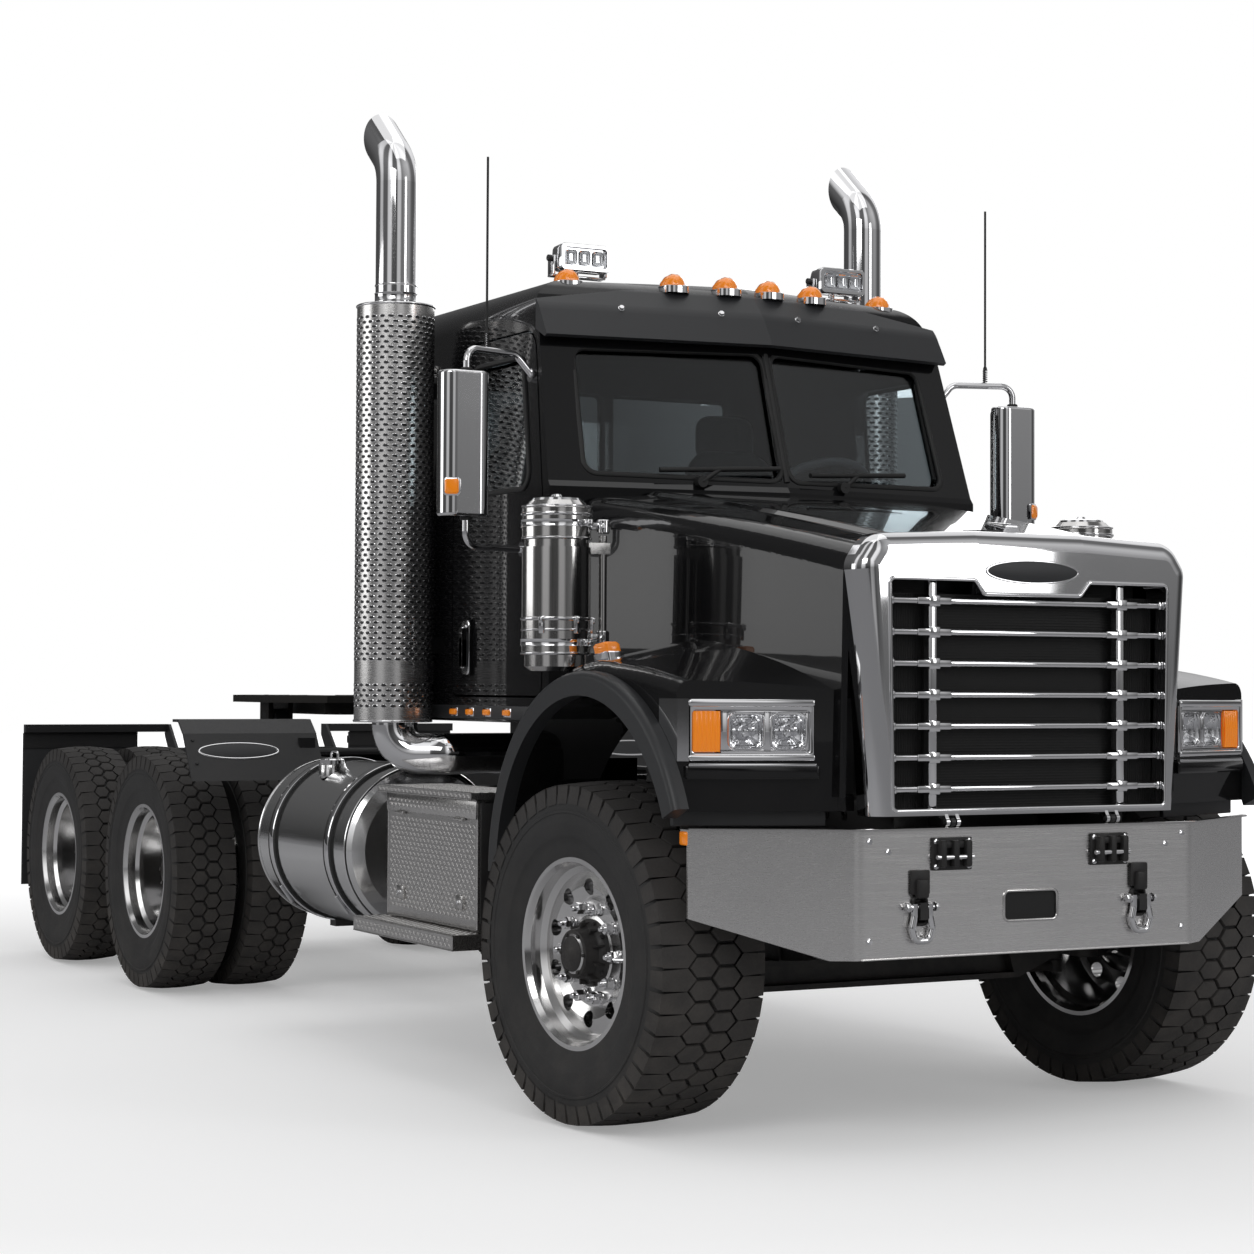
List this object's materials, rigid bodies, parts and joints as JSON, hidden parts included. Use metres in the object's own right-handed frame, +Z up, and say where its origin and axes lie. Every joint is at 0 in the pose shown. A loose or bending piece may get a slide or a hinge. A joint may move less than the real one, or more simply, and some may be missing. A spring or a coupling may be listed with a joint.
{
  "type": "semi truck tractor unit",
  "caption": "Conventional day-cab road tractor with a tilting hood, steered front axle, tandem drive axles with twin wheels, and a rocking fifth wheel.",
  "frame": {"origin": "on the ground, under the middle of the truck's box", "axes": "+Z up, the truck faces -Y, +X is the truck's own left side"},
  "size_m": [2.476, 6.91, 3.5098],
  "materials": {
    "gloss_black": "gloss",
    "chassis_black": "satin",
    "cast_black": "rough",
    "bumper_steel": "satin",
    "chrome": "polished",
    "stainless": "polished",
    "aluminium": "polished",
    "tread_plate": "patterned",
    "tyre": "matt",
    "rubber": "matt",
    "black_plastic": "satin",
    "interior_grey": "satin",
    "seat_cover": "woven",
    "amber_lens": "clear",
    "lamp_lens": "clear",
    "glass": "tinted",
    "screen_black": "matt",
    "cooler": "matt"
  },
  "bodies": {
    "root": {"frame_rails": "chassis_black", "crossmembers": "chassis_black", "bumper": "bumper_steel", "front_brackets": "chassis_black", "tow_shackles": "chrome", "front_axle": "cast_black", "drive_axles": "cast_black", "driveline": "cast_black", "engine": "cast_black", "radiator": "cooler", "fuel_tanks": "aluminium", "tank_straps": "chassis_black", "step_boxes": "tread_plate", "quarter_fenders": "black_plastic", "mud_flaps": "rubber", "tail_bar": "chassis_black", "exhaust_stacks": "chrome", "heat_shields": "stainless", "fifth_wheel_base": "chassis_black", "cab_shell": "gloss_black", "cab_glass": "glass", "sun_visor": "gloss_black", "cab_lights": "amber_lens", "work_lights": "chrome", "wipers": "black_plastic", "dashboard": "interior_grey", "seats": "seat_cover"},
    "fifth_wheel": {"fifth_wheel_plate": "chassis_black"},
    "hood": {"hood_shell": "gloss_black", "fenders": "gloss_black", "headlamps": "lamp_lens", "wheel_arch_flares": "black_plastic", "grille_surround": "chrome", "grille_bars": "chrome", "grille_screen": "screen_black", "air_cleaners": "stainless"},
    "door_left": {"door_left": "gloss_black", "door_glass_left": "glass", "mirror_left": "chrome"},
    "door_right": {"door_right": "gloss_black", "door_glass_right": "glass", "mirror_right": "chrome"},
    "knuckle_left": {"knuckle_left": "cast_black"},
    "knuckle_right": {"knuckle_right": "cast_black"},
    "tie_rod": {"tie_rod": "cast_black"},
    "front_wheel_left": {"front_rim_left": "aluminium", "front_tyre_left": "tyre"},
    "front_wheel_right": {"front_rim_right": "aluminium", "front_tyre_right": "tyre"},
    "drive_wheels_forward_left": {"dual_rims_forward_left": "aluminium", "dual_tyres_forward_left": "tyre"},
    "drive_wheels_forward_right": {"dual_rims_forward_right": "aluminium", "dual_tyres_forward_right": "tyre"},
    "drive_wheels_rear_left": {"dual_rims_rear_left": "aluminium", "dual_tyres_rear_left": "tyre"},
    "drive_wheels_rear_right": {"dual_rims_rear_right": "aluminium", "dual_tyres_rear_right": "tyre"}
  },
  "joints": [
    {"name": "hood_tilt", "type": "hinge", "parent": "root", "child": "hood", "pos_m": [0, -3.435, 0.965], "axis": [1, 0, 0], "range_deg": [0, 75]},
    {"name": "door_left_swing", "type": "hinge", "parent": "root", "child": "door_left", "pos_m": [0.89, -1.849, 1.7], "axis": [0, 0, -1], "range_deg": [0, 65]},
    {"name": "door_right_swing", "type": "hinge", "parent": "root", "child": "door_right", "pos_m": [-0.89, -1.849, 1.7], "axis": [0, 0, 1], "range_deg": [0, 65]},
    {"name": "steer_left", "type": "hinge", "parent": "root", "child": "knuckle_left", "pos_m": [0.86, -2.59, 0.536], "axis": [0, 0, 1], "range_deg": [-40.3, 29.7]},
    {"name": "steer_right", "type": "hinge", "parent": "root", "child": "knuckle_right", "pos_m": [-0.86, -2.59, 0.536], "axis": [0, 0, 1], "range_deg": [-40.3, 29.7]},
    {"name": "tie_rod_swing", "type": "hinge", "parent": "knuckle_left", "child": "tie_rod", "pos_m": [0.84614, -2.44064, 0.42], "axis": [0, 0, 1], "range_deg": [-29.7, 40.3]},
    {"name": "fifth_wheel_rock", "type": "hinge", "parent": "root", "child": "fifth_wheel", "pos_m": [0, 2.11, 1.205], "axis": [1, 0, 0], "range_deg": [-12, 12]},
    {"name": "front_wheel_left_roll", "type": "hinge", "parent": "knuckle_left", "child": "front_wheel_left", "pos_m": [0.97949, -2.57892, 0.536], "axis": [0.9957, 0.0924, 0], "continuous": true},
    {"name": "front_wheel_right_roll", "type": "hinge", "parent": "knuckle_right", "child": "front_wheel_right", "pos_m": [-0.97949, -2.60108, 0.536], "axis": [0.9957, 0.0924, 0], "continuous": true},
    {"name": "drive_wheels_forward_left_roll", "type": "hinge", "parent": "root", "child": "drive_wheels_forward_left", "pos_m": [0.893, 1.51, 0.527], "axis": [1, 0, 0], "continuous": true},
    {"name": "drive_wheels_forward_right_roll", "type": "hinge", "parent": "root", "child": "drive_wheels_forward_right", "pos_m": [-0.893, 1.51, 0.527], "axis": [1, 0, 0], "continuous": true},
    {"name": "drive_wheels_rear_left_roll", "type": "hinge", "parent": "root", "child": "drive_wheels_rear_left", "pos_m": [0.893, 2.83, 0.527], "axis": [1, 0, 0], "continuous": true},
    {"name": "drive_wheels_rear_right_roll", "type": "hinge", "parent": "root", "child": "drive_wheels_rear_right", "pos_m": [-0.893, 2.83, 0.527], "axis": [1, 0, 0], "continuous": true}
  ],
  "couplings": [
    {"joint": "steer_right", "follows": "steer_left", "ratio": 1},
    {"joint": "tie_rod_swing", "follows": "steer_left", "ratio": -1}
  ]
}
